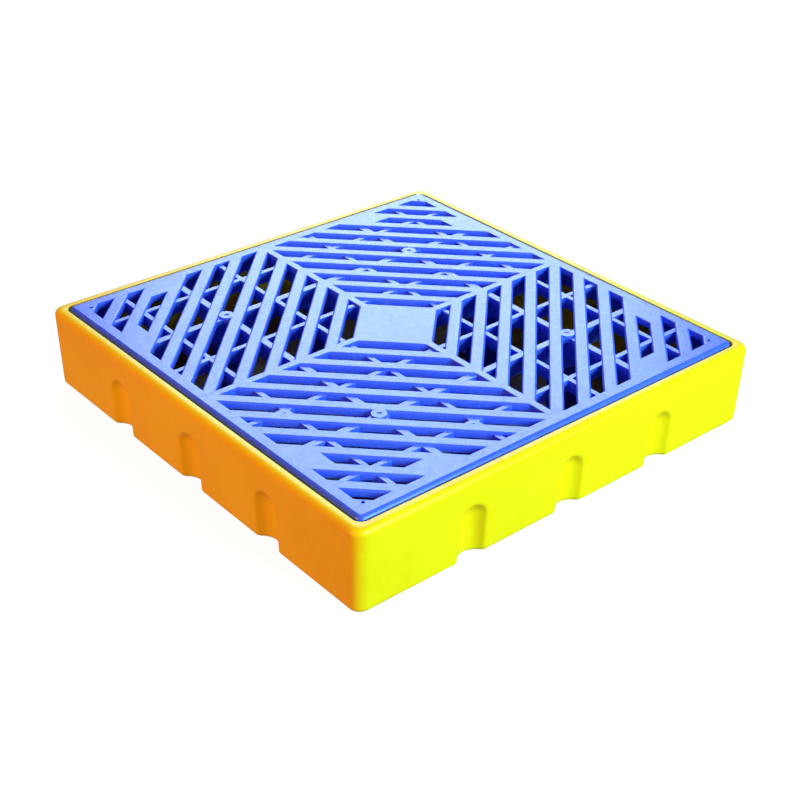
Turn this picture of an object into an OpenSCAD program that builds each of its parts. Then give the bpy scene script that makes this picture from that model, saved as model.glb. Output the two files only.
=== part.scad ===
// Low-profile spill containment pallet: a square sump tray with fluted walls,
// a lift-off slatted deck grate that seats inside its rim, and nine posts that
// stand on the sump floor and carry the main ribs of the grate.
// Origin: middle of the underside of the tray. +Z is up, millimetres.

/* [Tray] */
// Outer width of the square tray, at the rim
tray_w = 900; // [880:2:920]
// Height of the tray, from the floor under it to the top of its rim
tray_h = 155; // [150:1:170]
// Thickness of the walls and of the floor
wall_t = 7; // [5:0.5:8]
// How far each wall leans in from the rim down to the floor
draft = 3; // [2:0.5:6]
// Outer radius of the four upright corners
corner_r = 24; // [18:1:36]
// Width of the thick rim above the shelf
rim_w = 20; // [18:1:24]
// Radius of the outer top edge of the rim
rim_r = 12; // [9:1:15]
// Radius of the outer bottom edge
foot_r = 8; // [6:1:10]

/* [Shelf and flutes] */
// How far the shelf under the grate reaches in from the outer face of the wall
shelf_reach = 37; // [36:1:42]
// Thickness of the shelf
shelf_t = 8; // [6:1:10]
// Radius of the upright flutes pressed into each wall
flute_r = 32; // [28:1:34]
// Depth of a flute at the floor
flute_depth = 19; // [15:1:20]
// Height of the rounded top of a flute
flute_top = 101; // [88:1:102]

/* [Deck grate] */
// Clear gap between the rim and the grate, all round
deck_gap = 4; // [2.5:0.5:5]
// How far the top of the grate stands above the rim
deck_proud = 4; // [1:1:12]
// Height of the grate, from its seat to its top
deck_h = 46; // [42:1:50]
// Thickness of the slatted top
plate_t = 13; // [12:0.5:16]
// Outer radius of the corners of the grate
deck_corner_r = 12; // [12:1:18]
// Radius of the outer top edge of the grate
deck_edge_r = 10; // [6:1:11]
// Thickness of the skirt that hangs round the grate
skirt_t = 7; // [6:0.5:9]
// Width of the solid border round the slats
border_w = 25; // [22:1:28]
// Distance between neighbouring lines of ribs
rib_pitch = 109; // [107:0.5:110]
// Thickness of the deep ribs, on every second line
main_rib_t = 13; // [11:0.5:15]
// Thickness of the shallow ribs between them
minor_rib_t = 9; // [7:0.5:11]
// Depth of the shallow ribs below the top of the grate
minor_rib_h = 27; // [20:1:34]
// How far the tops of the ribs lie below the slats
rib_drop = 4; // [3:0.5:6]
// Rise of the arches along the underside of the deep ribs
arch_rise = 9; // [5:1:12]

/* [Slats] */
// Distance from the centre of the grate to the corners of its solid pad
pad_reach = 102; // [98:1:104]
// Width of a slot, measured along a rib
slot_open = 30; // [26:0.5:32]
// Distance from one slot to the next, measured along a rib
slot_step = 64.5; // [63:0.25:65]
// Radius of the top edges of the slats
slat_edge_r = 4.5; // [2:0.25:5]
// How far the slots that reach the quarter points stop short of the border
patch_w = 37; // [30:1:44]
// Diameter of the round bosses over the crossings of the outer deep ribs
boss_d = 27; // [24:1:30]
// Diameter of the small hole near each corner
corner_hole_d = 7; // [5:0.5:9]

/* [Posts] */
// Diameter of the tube of a post
post_d = 60; // [50:1:64]
// Thickness of the tube
post_wall = 5; // [4:0.5:7]
// Diameter of the foot and of the cap
post_foot_d = 80; // [74:1:84]
// Thickness of the foot and of the cap
post_flange_t = 6; // [5:0.5:8]
// Diameter of the vent hole in the cap
vent_d = 12; // [8:1:16]
// Height of the rings on the floor that keep the posts in place
ring_h = 10; // [8:1:14]
// Thickness of those rings
ring_t = 4; // [3:0.5:5]

/* [Hidden] */
$fn = 64;

tray_yellow = [0.93, 0.80, 0.08];
deck_blue = [0.55, 0.70, 0.98];
post_blue = [0.10, 0.18, 0.75];

eps = 0.01;
seat_gap = 0.3;
half_w = tray_w / 2;
span = 60;
floor_fillet = 12;

deck_half = half_w - rim_w - deck_gap;
deck_top = tray_h + deck_proud;
deck_bottom = deck_top - deck_h;
seat_z = deck_bottom - seat_gap;
open_half = deck_half - border_w;
band_half = main_rib_t / 2;
slot_count = 11;
patched_slot = 8;
support_step = 2 * rib_pitch;
support_lines = [-support_step, 0, support_step];
flute_offset = flute_r - flute_depth;

// The walls lean below this height and stand upright above it
lean_top = tray_h - rim_r;
under_shelf = seat_z - shelf_t;

// Inset of the inner face of the wall at a height below the shelf
function wall_in(z) = wall_t + draft * (1 - z / lean_top);

// Rounds a square corner at the origin, whose solid lies on the -X -Y side. The
// arc meets both faces at a slight angle, which keeps the cut clean.
module edge_round(radius) {
    inset = 0.97 * radius;
    difference() {
        translate([-inset, -inset]) square(inset + 2);
        translate([-inset, -inset]) circle(radius);
    }
}

// Section of the tray wall and its shelf, solid above the shelf as far in as the
// shelf reaches: X runs inward from the outermost face, Y is up
module wall_section() {
    sump_corner = [wall_in(wall_t), wall_t];
    difference() {
        polygon([[draft, 0], [span, 0], [span, tray_h], [0, tray_h], [0, lean_top]]);
        translate([0, tray_h]) mirror([1, 0]) edge_round(rim_r);
        translate([draft, 0]) rotate(180) edge_round(foot_r);
        // Hollow of the sump, with a filleted foot
        difference() {
            polygon([
                sump_corner, [span + 1, wall_t], [span + 1, tray_h + 1],
                [shelf_reach, tray_h + 1], [shelf_reach, under_shelf],
                [wall_in(under_shelf), under_shelf]
            ]);
            translate(sump_corner) rotate(180) edge_round(floor_fillet);
        }
    }
}

// Sweeps a section round a square of the given half width, with round corners
module swept_ring(half, corner) {
    straight = 2 * (half - corner);
    for (side = [0:3]) {
        rotate([0, 0, 90 * side]) {
            translate([-straight / 2, -half, 0])
                rotate([90, 0, 90])
                    linear_extrude(straight)
                        children();
            translate([half - corner, -half + corner, 0])
                rotate([0, 0, -90])
                    rotate_extrude(angle = 90)
                        intersection() {
                            translate([corner, 0]) mirror([1, 0]) children();
                            square([corner, 2 * tray_h]);
                        }
        }
    }
}

// Round body with a domed top, shared by the flutes and the bulges behind them
module flute_form(radius, top) {
    dome_z = top - sqrt(radius * radius - flute_offset * flute_offset);
    translate([0, 0, -1]) cylinder(r = radius, h = dome_z + 1);
    translate([0, 0, dome_z]) sphere(radius);
}

// Calls its children at the twelve flutes, each at the outer face with -Y outward
module at_flutes() {
    for (side = [0:3])
        for (along = support_lines)
            rotate([0, 0, 90 * side])
                translate([along, -half_w - flute_offset, 0])
                    children();
}

// Square block with round upright corners, standing on Z = 0
module rounded_block(half, corner, height) {
    straight = 2 * (half - corner);
    translate([-half, -straight / 2, 0]) cube([2 * half, straight, height]);
    translate([-straight / 2, -half, 0]) cube([straight, 2 * half, height]);
    for (x = [-1, 1])
        for (y = [-1, 1])
            translate([x * straight / 2, y * straight / 2, 0]) cylinder(r = corner, h = height);
}

// Ring on the sump floor that a post stands in
module floor_ring() {
    inner_d = post_foot_d + 1.2;
    translate([0, 0, wall_t - 1])
        difference() {
            cylinder(d = inner_d + 2 * ring_t, h = ring_h + 1);
            translate([0, 0, -1]) cylinder(d = inner_d, h = ring_h + 3);
            // Gaps that let the liquid in
            for (turn = [0, 90])
                rotate([0, 0, turn + 45])
                    translate([-post_foot_d, -8, 1])
                        cube([2 * post_foot_d, 16, ring_h + 1]);
        }
}

module sump_tray() {
    color(tray_yellow)
    difference() {
        union() {
            swept_ring(half_w, corner_r) wall_section();
            translate([-half_w + span - 1, -half_w + span - 1, 0])
                cube([tray_w - 2 * span + 2, tray_w - 2 * span + 2, wall_t]);
            for (x = support_lines)
                for (y = support_lines)
                    translate([x, y, 0]) floor_ring();
            intersection() {
                at_flutes() flute_form(flute_r + wall_t, flute_top + wall_t);
                translate([-half_w + draft + 1.5, -half_w + draft + 1.5, eps])
                    cube([tray_w - 2 * draft - 3, tray_w - 2 * draft - 3, seat_z - 2 * eps]);
            }
        }
        at_flutes() flute_form(flute_r, flute_top);
        // Seat of the grate, inside the rim
        translate([0, 0, seat_z])
            rounded_block(half_w - rim_w, deck_corner_r + deck_gap, tray_h);
    }
}

// Section of the edge of the grate: X runs inward from its outer face, Y is up
module deck_edge_section() {
    difference() {
        union() {
            square([skirt_t, deck_h]);
            translate([0, deck_h - plate_t]) square([deck_corner_r, plate_t]);
        }
        translate([0, deck_h]) mirror([1, 0]) edge_round(deck_edge_r);
    }
}

// Cutter for one straight slot, along X, with rounded slat edges at the top
module slot_prism(length) {
    width = slot_open / sqrt(2);
    rotate([90, 0, 90])
        linear_extrude(length, center = true) {
            translate([-width / 2, -1]) square([width, plate_t + 3]);
            translate([-width / 2, plate_t]) edge_round(slat_edge_r);
            translate([width / 2, plate_t]) mirror([1, 0]) edge_round(slat_edge_r);
        }
}

// Slots of one quarter of the grate, in the corner between +X and +Y
module quarter_slots() {
    for (k = [0:slot_count - 1]) {
        reach = pad_reach + slot_open / 2 + k * slot_step;
        limit = open_half - (k == patched_slot ? patch_w : 0);
        intersection() {
            translate([reach / 2, reach / 2, deck_top - plate_t])
                rotate([0, 0, -45])
                    slot_prism(2 * tray_w);
            translate([band_half, band_half, deck_bottom])
                cube([limit - band_half, limit - band_half, deck_h + 2]);
        }
    }
}

// Deep rib along X, arched between the points where it is carried
module main_rib() {
    arch_w = support_step - 56;
    arch_r = (arch_w * arch_w / 4 + arch_rise * arch_rise) / (2 * arch_rise);
    translate([0, main_rib_t / 2, deck_bottom])
        rotate([90, 0, 0])
            linear_extrude(main_rib_t)
                difference() {
                    translate([-deck_half + skirt_t / 2, 0])
                        square([2 * deck_half - skirt_t, deck_h - rib_drop]);
                    for (bay = [-3:2:3])
                        translate([bay * rib_pitch, arch_rise - arch_r]) circle(arch_r, $fn = 180);
                }
}

// Shallow rib along X
module minor_rib() {
    translate([-deck_half + skirt_t / 2, -minor_rib_t / 2, deck_top - minor_rib_h])
        cube([2 * deck_half - skirt_t, minor_rib_t, minor_rib_h - rib_drop]);
}

module deck_grate() {
    flat_half = deck_half - deck_corner_r;
    color(deck_blue)
    difference() {
        union() {
            translate([0, 0, deck_bottom])
                swept_ring(deck_half, deck_corner_r) deck_edge_section();
            difference() {
                translate([-flat_half, -flat_half, deck_top - plate_t])
                    cube([2 * flat_half, 2 * flat_half, plate_t]);
                for (quarter = [0:3])
                    rotate([0, 0, 90 * quarter]) quarter_slots();
            }
            for (turn = [0, 90])
                rotate([0, 0, turn]) {
                    for (line = [-1:1])
                        translate([0, line * support_step, 0]) main_rib();
                    for (line = [-3:2:3])
                        translate([0, line * rib_pitch, 0]) minor_rib();
                }
            for (x = [-1, 1])
                for (y = [-1, 1])
                    translate([x * support_step, y * support_step, deck_top - plate_t])
                        cylinder(d = boss_d, h = plate_t);
        }
        // Dimples of the bosses and the holes near the corners
        for (x = [-1, 1])
            for (y = [-1, 1]) {
                translate([x * support_step, y * support_step, deck_top - 1.5])
                    cylinder(d = boss_d / 3, h = 3);
                translate([x * (open_half - 6), y * (open_half - 6), deck_top - plate_t - 1])
                    cylinder(d = corner_hole_d, h = plate_t + 2);
            }
    }
}

// One post, at the given crossing of the support lines
module post(column, row) {
    post_h = seat_z - wall_t;
    color(post_blue)
    translate([column * support_step, row * support_step, wall_t])
        difference() {
            union() {
                cylinder(d = post_foot_d, h = post_flange_t);
                cylinder(d = post_d, h = post_h);
                translate([0, 0, post_h - post_flange_t])
                    cylinder(d = post_foot_d, h = post_flange_t);
            }
            translate([0, 0, -1])
                cylinder(d = post_d - 2 * post_wall, h = post_h - post_flange_t + 1);
            cylinder(d = vent_d, h = post_h + 1);
            // Arched openings at the foot that let the liquid in
            for (turn = [45, 135])
                rotate([90, 0, turn])
                    cylinder(d = 26, h = 2 * post_foot_d, center = true);
        }
}

sump_tray();
deck_grate();
post(0, 0);  // post_center
post(0, -1);  // post_front
post(0, 1);  // post_back
post(-1, 0);  // post_left
post(1, 0);  // post_right
post(-1, -1);  // post_front_left
post(1, -1);  // post_front_right
post(-1, 1);  // post_back_left
post(1, 1);  // post_back_right
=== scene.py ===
"""Looks of the spill containment pallet: sump tray, slatted grate, posts, floor and lights."""

import math

import bmesh
import bpy
from mathutils import Matrix, Vector


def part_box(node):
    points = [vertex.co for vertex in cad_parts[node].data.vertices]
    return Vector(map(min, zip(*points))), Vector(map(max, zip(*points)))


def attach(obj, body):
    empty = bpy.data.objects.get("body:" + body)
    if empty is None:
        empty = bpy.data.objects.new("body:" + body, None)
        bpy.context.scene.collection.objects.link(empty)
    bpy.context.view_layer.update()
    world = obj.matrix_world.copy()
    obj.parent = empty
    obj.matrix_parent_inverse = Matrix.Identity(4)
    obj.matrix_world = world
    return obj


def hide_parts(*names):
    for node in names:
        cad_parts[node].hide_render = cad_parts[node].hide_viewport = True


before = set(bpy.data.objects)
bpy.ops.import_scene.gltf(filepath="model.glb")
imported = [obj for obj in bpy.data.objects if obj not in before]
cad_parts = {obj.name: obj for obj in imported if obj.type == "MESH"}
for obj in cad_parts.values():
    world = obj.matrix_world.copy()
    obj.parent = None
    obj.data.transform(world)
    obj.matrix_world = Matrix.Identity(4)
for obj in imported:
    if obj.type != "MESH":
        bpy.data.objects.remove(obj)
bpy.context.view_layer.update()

# ---------------------------------------------------------------- sizes, in metres
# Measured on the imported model
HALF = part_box("sump_tray")[1].x
RIM_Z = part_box("sump_tray")[1].z
SEAT_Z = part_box("post_center")[1].z

# Design sizes of the tray, with a few edge radii a little smaller than in the CAD
WALL = 0.007
DRAFT = 0.003
CORNER_R = 0.024
RIM_W = 0.020
RIM_R = 0.0118
RIM_LIP_R = 0.0014
RIM_INNER_CORNER_R = 0.016
INNER_LOOP_RISE = 0.020
SEAT_CHAMFER = 0.0012
FOOT_R = 0.0077
SHELF_REACH = 0.037
SHELF_T = 0.008
SHELF_EDGE_R = 0.002
FLOOR_FILLET = 0.012
# Insets of the loops that close the underside and the sump floor towards the middle
FLOOR_INSETS = (0.046, 0.090, 0.160, 0.250, 0.340, 0.448)
LEAN_TOP = RIM_Z - RIM_R

FLUTE_R = 0.032
FLUTE_DEPTH = 0.019
FLUTE_TOP = 0.101
FLUTE_BLEND = 0.0045
SUPPORT_LINES = (-0.218, 0.0, 0.218)

POST_FOOT_R = 0.040
RING_GAP = 0.0006
RING_T = 0.004
RING_H = 0.010
RING_EDGE = 0.001
RING_OPENING = 0.016
# How far a ring reaches into the floor, so that the two join without a seam
RING_SINK = 0.0005

# How finely the tray is divided
FOOT_END_ANGLE = 181
FOOT_STEPS = 7
WALL_STEPS = 40
RIM_STEPS = 12
EDGE_STEPS = 4
INNER_WALL_STEPS = 26
FILLET_STEPS = 6
CORNER_STEPS = 14
RING_STEPS = 13
PLAIN_STEPS = 13
FLUTE_STATION_STEP = 0.0022
FLUTE_STATIONS = 17
FLUTE_CLEARANCE = 0.045

# Vertices closer than the first are merged, edges shorter than the second are removed, and
# faces bent by more than the third, in radians, are split
MERGE_DISTANCE = 1e-5
SHORTEST_EDGE = 1e-6
FLATNESS_ANGLE = 0.01

# Edges that turn by more than these, in degrees, are shaded sharp or rounded
SHARP_ANGLE = 38
SOFTENED_ANGLE = 40

# How far the rounding of the CAD's edges reaches
GRATE_EDGE_R = 0.0008
POST_EDGE_R = 0.0010


# ---------------------------------------------------------------- mesh helpers
def smooth_max(a, b, blend):
    """The larger of two values, rounded over where they are nearly equal."""
    return 0.5 * (a + b + math.hypot(a - b, blend))


def arc(center, radius, start, end, steps):
    """Points along an arc in the (inset, height) plane; angles in degrees."""
    turns = [math.radians(start + (end - start) * i / steps) for i in range(steps + 1)]
    return [(center[0] + radius * math.cos(t), center[1] + radius * math.sin(t)) for t in turns]


def span(a, b, steps):
    """Evenly spaced points after a, up to and including b."""
    shares = [i / steps for i in range(1, steps + 1)]
    return [(a[0] + (b[0] - a[0]) * t, a[1] + (b[1] - a[1]) * t) for t in shares]


def shade_softly(mesh):
    """Soft shading, except across the sharp edges."""
    for face in mesh.polygons:
        face.use_smooth = True
    mesh.set_sharp_from_angle(angle=math.radians(SHARP_ANGLE))


def mesh_object(name, bm):
    """Turns a bmesh into a softly shaded object in the scene."""
    bmesh.ops.recalc_face_normals(bm, faces=bm.faces)
    mesh = bpy.data.meshes.new(name)
    bm.to_mesh(mesh)
    bm.free()
    obj = bpy.data.objects.new(name, mesh)
    bpy.context.scene.collection.objects.link(obj)
    shade_softly(mesh)
    return obj


# ---------------------------------------------------------------- the sump tray
def wall_inset(z):
    """Inset of the leaning outer face of the wall at a height."""
    return DRAFT * max(0.0, 1 - z / LEAN_TOP)


def flute_inset(along, z, radius):
    """Inset of the round form that presses a flute into the wall, at a place on the wall."""
    offset = FLUTE_R - FLUTE_DEPTH
    dome_z = FLUTE_TOP + (radius - FLUTE_R) - math.sqrt(radius**2 - offset**2)
    left = radius**2 - along**2 - max(0.0, z - dome_z) ** 2
    return math.copysign(math.sqrt(abs(left)), left) - offset


class Loop:
    """One loop round the tray: inset from the outermost face, height, corner and kind.

    The kind is "outer" or "inner" on a face with flutes, "flat" on the flat floor, or None.
    """

    def __init__(self, inset, z, corner, kind=None):
        self.inset = inset
        self.z = z
        self.corner = max(corner, 0.0)
        self.kind = kind


def tray_profile():
    """Loops from the middle of the underside, over the rim, to the middle of the sump floor."""

    def swept(points, kind=None):
        return [Loop(u, z, CORNER_R - u, kind) for u, z in points]

    loops = swept([(u, 0.0) for u in reversed(FLOOR_INSETS)], "flat")
    foot = arc((wall_inset(0) + FOOT_R, FOOT_R), FOOT_R, 270, FOOT_END_ANGLE, FOOT_STEPS)
    loops += swept(foot, "outer")
    loops += swept(span(foot[-1], (wall_inset(LEAN_TOP), LEAN_TOP), WALL_STEPS), "outer")

    loops += swept(arc((RIM_R, RIM_Z - RIM_R), RIM_R, 180, 90, RIM_STEPS)[1:])
    lip = arc((RIM_W - RIM_LIP_R, RIM_Z - RIM_LIP_R), RIM_LIP_R, 90, 0, EDGE_STEPS)
    loops += [Loop(u, z, RIM_INNER_CORNER_R + RIM_W - u) for u, z in lip]
    for rise in (INNER_LOOP_RISE, SEAT_CHAMFER):
        loops.append(Loop(RIM_W, SEAT_Z + rise, RIM_INNER_CORNER_R))
    loops.append(Loop(RIM_W + SEAT_CHAMFER, SEAT_Z, RIM_INNER_CORNER_R))

    shelf_c = (SHELF_REACH - SHELF_EDGE_R, SEAT_Z - SHELF_EDGE_R)
    loops += swept(arc(shelf_c, SHELF_EDGE_R, 90, 0, EDGE_STEPS))
    under = SEAT_Z - SHELF_T
    shelf_c = (SHELF_REACH - SHELF_EDGE_R, under + SHELF_EDGE_R)
    loops += swept(arc(shelf_c, SHELF_EDGE_R, 0, -90, EDGE_STEPS))

    start = (wall_inset(under) + WALL, under)
    fillet_c = (wall_inset(WALL) + WALL + FLOOR_FILLET, WALL + FLOOR_FILLET)
    end = (fillet_c[0] - FLOOR_FILLET, fillet_c[1])
    loops += swept([start] + span(start, end, INNER_WALL_STEPS), "inner")
    loops += swept(arc(fillet_c, FLOOR_FILLET, 180, 270, FILLET_STEPS)[1:], "inner")
    loops += swept([(u, WALL) for u in FLOOR_INSETS], "flat")
    return loops


def tray_stations():
    """Stations round the tray: (side, place along it, None) or (side, None, corner angle).

    They lie close together across each flute and far apart on the plain wall between.
    """
    straight = HALF - CORNER_R
    offsets = [FLUTE_STATION_STEP * i for i in range(-FLUTE_STATIONS, FLUTE_STATIONS + 1)]
    fine = {round(line + offset, 6) for line in SUPPORT_LINES for offset in offsets}
    coarse = [straight * (i / PLAIN_STEPS - 1) for i in range(2 * PLAIN_STEPS + 1)]
    clear = [a for a in coarse if min(abs(a - line) for line in SUPPORT_LINES) > FLUTE_CLEARANCE]
    along = sorted(fine | {round(a, 6) for a in clear})
    angles = [90 * i / CORNER_STEPS for i in range(CORNER_STEPS + 1)]
    return [
        station
        for side in range(4)
        for station in [(side, a, None) for a in along] + [(side, None, t) for t in angles]
    ]


def fluted_inset(loop, along):
    """Inset of a loop at a place along a side, pushed in where a flute passes it."""
    if loop.kind not in ("outer", "inner"):
        return loop.inset
    thick = WALL if loop.kind == "inner" else 0.0
    near = min(abs(along - line) for line in SUPPORT_LINES)
    base = wall_inset(loop.z) + thick
    pushed = smooth_max(base, flute_inset(near, loop.z, FLUTE_R + thick), FLUTE_BLEND)
    return loop.inset + pushed - base


def tray_point(loop, station):
    """The point where a loop passes a station, in the object's frame."""
    side, along, angle = station
    if angle is None:
        inset = fluted_inset(loop, along)
        reach = HALF - loop.inset - loop.corner
        if loop.kind == "flat":
            along *= reach / (HALF - CORNER_R)
        x = max(-reach, min(reach, along))
        y = inset - HALF
    else:
        centre = HALF - loop.inset - loop.corner
        turn = math.radians(angle - 90)
        x = centre + loop.corner * math.cos(turn)
        y = -centre + loop.corner * math.sin(turn)
    turn = math.radians(90 * side)
    return (x * math.cos(turn) - y * math.sin(turn), x * math.sin(turn) + y * math.cos(turn), loop.z)


def build_tray():
    """The tray's walls, rim, shelf and floor as one closed shell, without the rings."""
    bm = bmesh.new()
    stations = tray_stations()
    rings = [[bm.verts.new(tray_point(loop, s)) for s in stations] for loop in tray_profile()]
    count = len(stations)
    for lower, upper in zip(rings, rings[1:]):
        for i in range(count):
            j = (i + 1) % count
            bm.faces.new((lower[i], lower[j], upper[j], upper[i]))
    bm.faces.new(list(reversed(rings[0])))
    bm.faces.new(rings[-1])
    bmesh.ops.remove_doubles(bm, verts=bm.verts, dist=MERGE_DISTANCE)
    bmesh.ops.dissolve_degenerate(bm, dist=SHORTEST_EDGE, edges=bm.edges)
    bmesh.ops.connect_verts_nonplanar(bm, angle_limit=FLATNESS_ANGLE, faces=bm.faces)
    return mesh_object("tray_shell", bm)


def ring_section():
    """Outline of a ring's wall, as (radius, height) points."""
    inner = POST_FOOT_R + RING_GAP
    outer = inner + RING_T
    foot = WALL - RING_SINK
    top = WALL + RING_H
    return [
        (inner, foot), (inner, top - RING_EDGE), (inner + RING_EDGE, top),
        (outer - RING_EDGE, top), (outer, top - RING_EDGE), (outer, foot),
    ]


def add_ring_quarter(bm, cx, cy, quarter):
    """Adds one of the four arcs of the ring round a post."""
    section = ring_section()
    inner = section[0][0]
    gap = math.asin(RING_OPENING / 2 / inner)
    sweep = math.radians(90) - 2 * gap
    start = math.radians(90 * quarter - 45) + gap
    turns = [start + sweep * i / RING_STEPS for i in range(RING_STEPS + 1)]
    slices = [
        [bm.verts.new((cx + r * math.cos(t), cy + r * math.sin(t), z)) for r, z in section]
        for t in turns
    ]
    for a, b in zip(slices, slices[1:]):
        for k in range(len(section)):
            m = (k + 1) % len(section)
            bm.faces.new((a[k], a[m], b[m], b[k]))
    bm.faces.new(list(reversed(slices[0])))
    bm.faces.new(slices[-1])


def build_floor_rings():
    """The broken rings on the sump floor that the posts stand in."""
    bm = bmesh.new()
    for cx in SUPPORT_LINES:
        for cy in SUPPORT_LINES:
            for quarter in range(4):
                add_ring_quarter(bm, cx, cy, quarter)
    return mesh_object("tray_floor_rings", bm)


# ---------------------------------------------------------------- materials
# Scales of the textures, from slow waves and clouds to the grain of the mould
CLOUD_SCALE = 4.5
# Size of the patches of painted shade on the sump floor
SUMP_SHADE_SCALE = 7
WAVE_SCALE = 13
WEAR_SCALE = 30
SCRATCH_SCALE = 35
MOTTLE_SCALE = 55
SHEEN_SCALE = 160
GRAIN_SCALE = 850
SCRATCH_STRETCH = (1.0, 9.0, 1.0)

# How strongly each layer of colour shows
MOTTLE_SHARE = 0.6
WEAR_SHARE = 0.55
SCRATCH_SHARE = 0.14

# How far the wear reaches from an edge, in metres
WEAR_RADIUS = 0.0022

# The painted shade, a dull maroon darkening of the sump floor and the foot of its inner walls, goes
# from none at the first value of each pair to full at the second, in metres: inwards from the walls,
# down towards the floor, and up through the floor's thickness
SUMP_SHADE_REACH = (0.424, 0.400)
SUMP_SHADE_HEIGHT = (0.075, 0.010)
SUMP_SHADE_START = (0.003, 0.006)
SUMP_SHADE_COLOUR = (0.050, 0.012, 0.034)
TRAY_SPECULAR = 0.22


class Plastic:
    """A node material for moulded polyethylene, built up one layer at a time."""

    def __init__(self, name):
        self.material = bpy.data.materials.new(name)
        self.material.use_nodes = True
        self.nodes = self.material.node_tree.nodes
        self.links = self.material.node_tree.links
        self.shader = self.nodes["Principled BSDF"]
        self.shader.inputs["IOR"].default_value = 1.5
        self.coords = self.nodes.new("ShaderNodeTexCoord").outputs["Object"]

    def noise(self, scale, detail=2.0, rough=0.5, stretch=None):
        """A noise texture in the object's frame, drawn out along an axis if stretch says so."""
        vector = self.coords
        if stretch is not None:
            mapping = self.nodes.new("ShaderNodeMapping")
            mapping.inputs["Scale"].default_value = stretch
            self.links.new(vector, mapping.inputs["Vector"])
            vector = mapping.outputs["Vector"]
        node = self.nodes.new("ShaderNodeTexNoise")
        node.inputs["Scale"].default_value = scale
        node.inputs["Detail"].default_value = detail
        node.inputs["Roughness"].default_value = rough
        self.links.new(vector, node.inputs["Vector"])
        return node.outputs["Fac"]

    def remap(self, value, low, high, to_low=0.0, to_high=1.0):
        """Carries low to high smoothly over to_low to to_high, and holds the ends."""
        node = self.nodes.new("ShaderNodeMapRange")
        node.interpolation_type = "SMOOTHSTEP"
        for name, number in (
            ("From Min", low), ("From Max", high), ("To Min", to_low), ("To Max", to_high)
        ):
            node.inputs[name].default_value = number
        self.links.new(value, node.inputs["Value"])
        return node.outputs["Result"]

    def math(self, operation, *values):
        """One arithmetic step on sockets or plain numbers."""
        node = self.nodes.new("ShaderNodeMath")
        node.operation = operation
        for socket, value in zip(node.inputs, values):
            if isinstance(value, (int, float)):
                socket.default_value = value
            else:
                self.links.new(value, socket)
        return node.outputs["Value"]

    def mix(self, share, a, b):
        """Blends colour a into colour b; each is a socket or three numbers."""
        node = self.nodes.new("ShaderNodeMix")
        node.data_type = "RGBA"
        self.links.new(share, node.inputs["Factor"])
        colour_in = [s for s in node.inputs if s.type == "RGBA"]
        for socket, value in zip(colour_in, (a, b)):
            if isinstance(value, tuple):
                socket.default_value = (*value, 1)
            else:
                self.links.new(value, socket)
        return next(s for s in node.outputs if s.type == "RGBA")

    def edges(self, radius):
        """1 near convex and concave edges, 0 on the faces."""
        bevel = self.nodes.new("ShaderNodeBevel")
        bevel.samples = 4
        bevel.inputs["Radius"].default_value = radius
        flat = self.nodes.new("ShaderNodeNewGeometry").outputs["Normal"]
        dot = self.nodes.new("ShaderNodeVectorMath")
        dot.operation = "DOT_PRODUCT"
        self.links.new(bevel.outputs["Normal"], dot.inputs[0])
        self.links.new(flat, dot.inputs[1])
        return self.remap(dot.outputs["Value"], 0.995, 0.86)

    def position(self):
        """Place of the surface in the object's frame, in metres, as three values."""
        split = self.nodes.new("ShaderNodeSeparateXYZ")
        self.links.new(self.coords, split.inputs["Vector"])
        return [split.outputs[axis] for axis in "XYZ"]

    def bump(self, layers):
        """Stacks (height, strength, distance) layers of bump onto the shader's normal."""
        normal = None
        for height, strength, distance in layers:
            node = self.nodes.new("ShaderNodeBump")
            node.inputs["Strength"].default_value = strength
            node.inputs["Distance"].default_value = distance
            self.links.new(height, node.inputs["Height"])
            if normal is not None:
                self.links.new(normal, node.inputs["Normal"])
            normal = node.outputs["Normal"]
        self.links.new(normal, self.shader.inputs["Normal"])

    def colour(self, value):
        """Puts a socket on the shader's colour."""
        self.links.new(value, self.shader.inputs["Base Color"])

    def roughness(self, value):
        """Puts a socket on the shader's roughness."""
        self.links.new(value, self.shader.inputs["Roughness"])


def moulded_plastic(name, base, shade, tint, scuff, roughness):
    """Cloudy colour, pale mottle, scuffed edges, fine scratches, uneven sheen, grain and waves."""
    plastic = Plastic(name)
    clouds = plastic.remap(plastic.noise(CLOUD_SCALE, 3), 0.34, 0.66)
    mottle = plastic.remap(plastic.noise(MOTTLE_SCALE, 4, 0.6), 0.50, 0.80)
    colour = plastic.mix(clouds, shade, base)
    colour = plastic.mix(plastic.math("MULTIPLY", mottle, MOTTLE_SHARE), colour, tint)

    patches = plastic.remap(plastic.noise(WEAR_SCALE, 3, 0.65), 0.42, 0.68)
    wear = plastic.math("MULTIPLY", plastic.edges(WEAR_RADIUS), patches)
    colour = plastic.mix(plastic.math("MULTIPLY", wear, WEAR_SHARE), colour, scuff)

    scratches = plastic.noise(SCRATCH_SCALE, 5, 0.7, SCRATCH_STRETCH)
    scratches = plastic.remap(scratches, 0.60, 0.78)
    colour = plastic.mix(plastic.math("MULTIPLY", scratches, SCRATCH_SHARE), colour, scuff)
    plastic.colour(colour)

    sheen = plastic.noise(SHEEN_SCALE, 5, 0.7)
    plastic.roughness(plastic.remap(sheen, 0.35, 0.75, roughness - 0.05, roughness + 0.12))
    plastic.bump([
        (plastic.noise(WAVE_SCALE, 2), 0.10, 0.004),
        (scratches, 0.05, 0.0005),
        (plastic.noise(GRAIN_SCALE, 2), 0.16, 0.0003),
    ])
    return plastic


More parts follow.
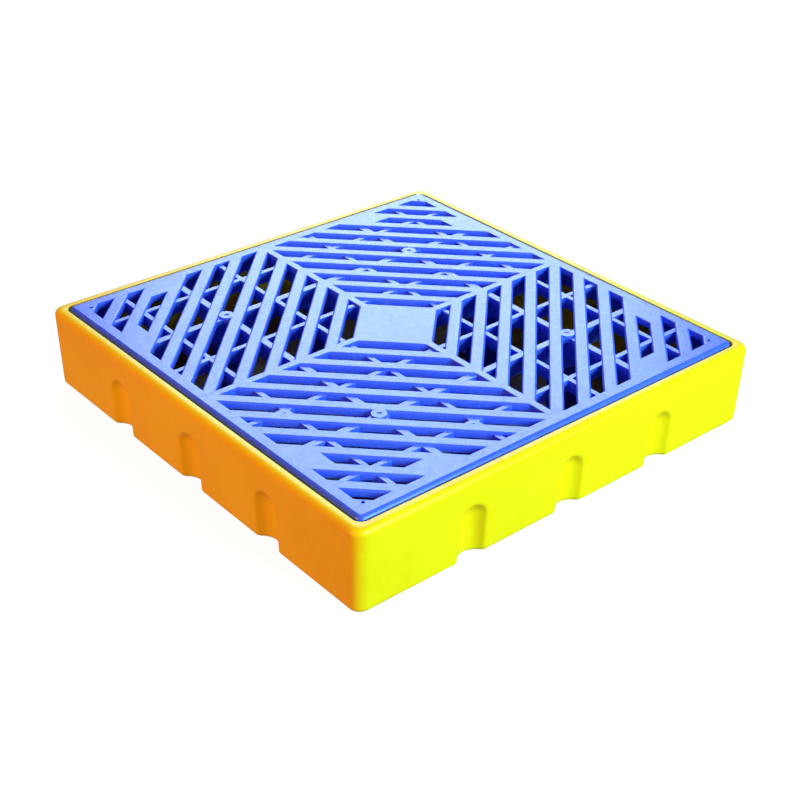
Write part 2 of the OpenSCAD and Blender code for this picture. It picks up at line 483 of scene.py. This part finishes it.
def tray_plastic():
    """Yellow, with dull maroon painted shade over the floor of the sump."""
    plastic = moulded_plastic(
        "tray_yellow_polyethylene",
        base=(0.94, 0.60, 0.003), shade=(0.90, 0.53, 0.002),
        tint=(0.95, 0.66, 0.010), scuff=(0.96, 0.78, 0.16), roughness=0.34,
    )
    # The colour before the painted shade; then the sump floor and the foot of its inner walls are
    # darkened to a dull maroon in patches, as painted shade
    unshaded_colour = plastic.shader.inputs["Base Color"].links[0].from_socket
    x, y, z = plastic.position()
    reach = plastic.math("MAXIMUM", plastic.math("ABSOLUTE", x), plastic.math("ABSOLUTE", y))
    inside = plastic.remap(reach, *SUMP_SHADE_REACH)
    low = plastic.remap(z, *SUMP_SHADE_HEIGHT)
    above = plastic.remap(z, *SUMP_SHADE_START)
    shade_patches = plastic.remap(plastic.noise(SUMP_SHADE_SCALE, 4, 0.6), 0.25, 0.60, 0.70, 0.93)
    painted_shade = plastic.math("MULTIPLY", plastic.math("MULTIPLY", inside, low), above)
    painted_shade = plastic.math("MULTIPLY", painted_shade, shade_patches)
    plastic.shader.inputs["Specular IOR Level"].default_value = TRAY_SPECULAR
    plastic.colour(plastic.mix(painted_shade, unshaded_colour, SUMP_SHADE_COLOUR))
    return plastic.material


def grate_plastic():
    """Bright blue, with pale scuffed edges."""
    return moulded_plastic(
        "grate_blue_polyethylene",
        base=(0.052, 0.108, 0.96), shade=(0.040, 0.084, 0.94),
        tint=(0.08, 0.155, 0.97), scuff=(0.30, 0.50, 0.98), roughness=0.31,
    ).material


def post_plastic():
    """A deeper, duller blue than the grate."""
    return moulded_plastic(
        "post_blue_polyethylene",
        base=(0.020, 0.035, 0.50), shade=(0.016, 0.028, 0.42),
        tint=(0.035, 0.06, 0.56), scuff=(0.13, 0.19, 0.68), roughness=0.48,
    ).material


def dress(obj, material):
    """Gives an object one material in place of what it had."""
    obj.data.materials.clear()
    obj.data.materials.append(material)


# ---------------------------------------------------------------- the object
def soften(obj, width):
    """Rounds the sharp edges of a CAD node."""
    bevel = obj.modifiers.new("soft_edges", "BEVEL")
    bevel.width = width
    bevel.segments = 2
    bevel.limit_method = "ANGLE"
    bevel.angle_limit = math.radians(SOFTENED_ANGLE)


tray = build_tray()
floor_rings = build_floor_rings()
join = tray.modifiers.new("rings", "BOOLEAN")
join.operation = "UNION"
join.solver = "EXACT"
join.object = floor_rings
bpy.context.view_layer.objects.active = tray
bpy.ops.object.modifier_apply(modifier=join.name)
bpy.data.objects.remove(floor_rings)
shade_softly(tray.data)
dress(tray, tray_plastic())
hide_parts("sump_tray")
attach(tray, "tray")

grate_material = grate_plastic()
post_material = post_plastic()
for name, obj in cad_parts.items():
    if name == "deck_grate":
        dress(obj, grate_material)
        soften(obj, GRATE_EDGE_R)
    elif name.startswith("post_"):
        dress(obj, post_material)
        soften(obj, POST_EDGE_R)


# ---------------------------------------------------------------- floor and light
FLOOR_HALF = 12
FLOOR_GREY = 0.16
FLOOR_GLOW = 0.93
SKY_STRENGTH = 0.16


def build_floor():
    """A pale floor with a glow of its own, which neither lights the pallet nor shows in it."""
    bm = bmesh.new()
    bmesh.ops.create_grid(bm, x_segments=1, y_segments=1, size=FLOOR_HALF)
    floor = mesh_object("studio_floor", bm)
    paint = bpy.data.materials.new("studio_floor_paint")
    paint.use_nodes = True
    shader = paint.node_tree.nodes["Principled BSDF"]
    shader.inputs["Base Color"].default_value = (FLOOR_GREY, FLOOR_GREY, FLOOR_GREY, 1)
    shader.inputs["Roughness"].default_value = 0.9
    shader.inputs["Emission Color"].default_value = (1, 1, 1, 1)
    shader.inputs["Emission Strength"].default_value = FLOOR_GLOW
    dress(floor, paint)
    floor.visible_diffuse = False
    floor.visible_glossy = False


def soft_light(name, place, size, watts, colour):
    """A round area light that faces the middle of the pallet."""
    light = bpy.data.lights.new(name, "AREA")
    light.shape = "DISK"
    light.size = size
    light.energy = watts
    light.color = colour
    lamp = bpy.data.objects.new(name, light)
    lamp.location = place
    aim = Vector((0, 0, RIM_Z)) - Vector(place)
    lamp.rotation_euler = aim.to_track_quat("-Z", "Y").to_euler()
    bpy.context.scene.collection.objects.link(lamp)


build_floor()
soft_light("key_right", (0.5, -3.0, 1.25), 1.6, 178, (0.49, 1.0, 0.72))
soft_light("warm_left", (-3.0, 0.2, 1.0), 1.4, 63, (1.0, 0.38, 0.14))
soft_light("back_soft", (1.95, 2.30, 2.0), 2.6, 132, (0.66, 0.90, 1.0))

world = bpy.data.worlds.new("studio")
world.use_nodes = True
sky = world.node_tree.nodes["Background"]
sky.inputs["Color"].default_value = (1, 1, 1, 1)
sky.inputs["Strength"].default_value = SKY_STRENGTH
bpy.context.scene.world = world
bpy.context.scene.view_settings.view_transform = "Standard"

# ---------------------------------------------------------------- camera
# Fitted to the pallet's proportions and the viewing angle; angles in degrees
FOCAL_OVER_WIDTH = 1.8197
SENSOR_WIDTH = 36
AZIMUTH = -40.72
ELEVATION = 31.28
ROLL = 1.01
DISTANCE = 2.7051
TARGET = Vector((0.0057, -0.0093, 0.0))


def build_camera():
    """The camera, turned about the target and rolled about its own axis."""
    az, el, roll = (math.radians(a) for a in (AZIMUTH, ELEVATION, ROLL))
    back = Vector((math.sin(az) * math.cos(el), -math.cos(az) * math.cos(el), math.sin(el)))
    right = Vector((math.cos(az), math.sin(az), 0))
    up = back.cross(right)
    rolled_right = right * math.cos(roll) + up * math.sin(roll)
    rolled_up = up * math.cos(roll) - right * math.sin(roll)
    matrix = Matrix((rolled_right, rolled_up, back)).transposed().to_4x4()
    matrix.translation = TARGET + back * DISTANCE
    lens = bpy.data.cameras.new("camera")
    lens.sensor_width = SENSOR_WIDTH
    lens.lens = FOCAL_OVER_WIDTH * lens.sensor_width
    camera = bpy.data.objects.new("camera", lens)
    camera.matrix_world = matrix
    bpy.context.scene.collection.objects.link(camera)
    bpy.context.scene.camera = camera


build_camera()
